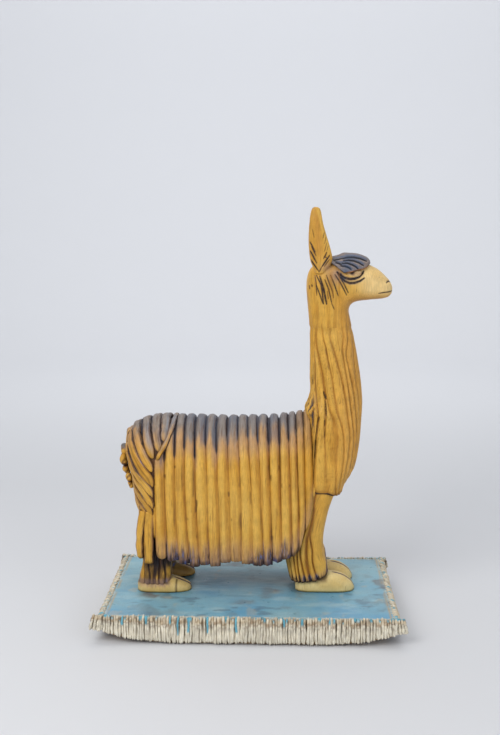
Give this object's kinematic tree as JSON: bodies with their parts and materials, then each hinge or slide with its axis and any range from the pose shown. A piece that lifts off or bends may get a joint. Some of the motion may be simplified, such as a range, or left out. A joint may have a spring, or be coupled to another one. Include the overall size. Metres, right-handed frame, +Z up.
{
  "type": "ceramic llama figurine",
  "caption": "Hand-built ceramic llama with a coat of hanging clay strips, standing on a rug-shaped slab with a turquoise glazed top and a cream fringe.",
  "frame": {"origin": "centre of the slab's flat underside, which is the bottom centre of the bounding box", "axes": "+X towards the llama's nose, +Y towards its left side, +Z up"},
  "size_m": [0.2844, 0.1696, 0.3878],
  "materials": {
    "amber_clay": "satin amber wash over carved clay, darker in the grooves",
    "stained_clay": "satin grey-blue oxide stain",
    "hoof_clay": "smooth satin pale yellow wash",
    "turquoise_glaze": "semi-gloss turquoise glaze, streaked and broken",
    "fringe_clay": "matte cream clay with brown in the grooves",
    "eye_clay": "satin tan with a dark pupil"
  },
  "bodies": {
    "root": {"slab": "turquoise_glaze", "fringe_front": "fringe_clay", "fringe_back": "fringe_clay", "fringe_left": "fringe_clay", "fringe_right": "fringe_clay", "foot_front_right": "hoof_clay", "foot_front_left": "hoof_clay", "foot_hind_right": "hoof_clay", "foot_hind_left": "hoof_clay", "leg_front_right": "amber_clay", "leg_front_left": "amber_clay", "leg_hind_right": "amber_clay", "leg_hind_left": "amber_clay", "trunk": "amber_clay", "rump": "amber_clay", "tail": "amber_clay", "neck": "amber_clay", "head": "amber_clay", "ear_right": "amber_clay", "ear_left": "amber_clay", "forelock": "stained_clay", "eye_right": "eye_clay", "eye_left": "eye_clay"}
  },
  "joints": []
}
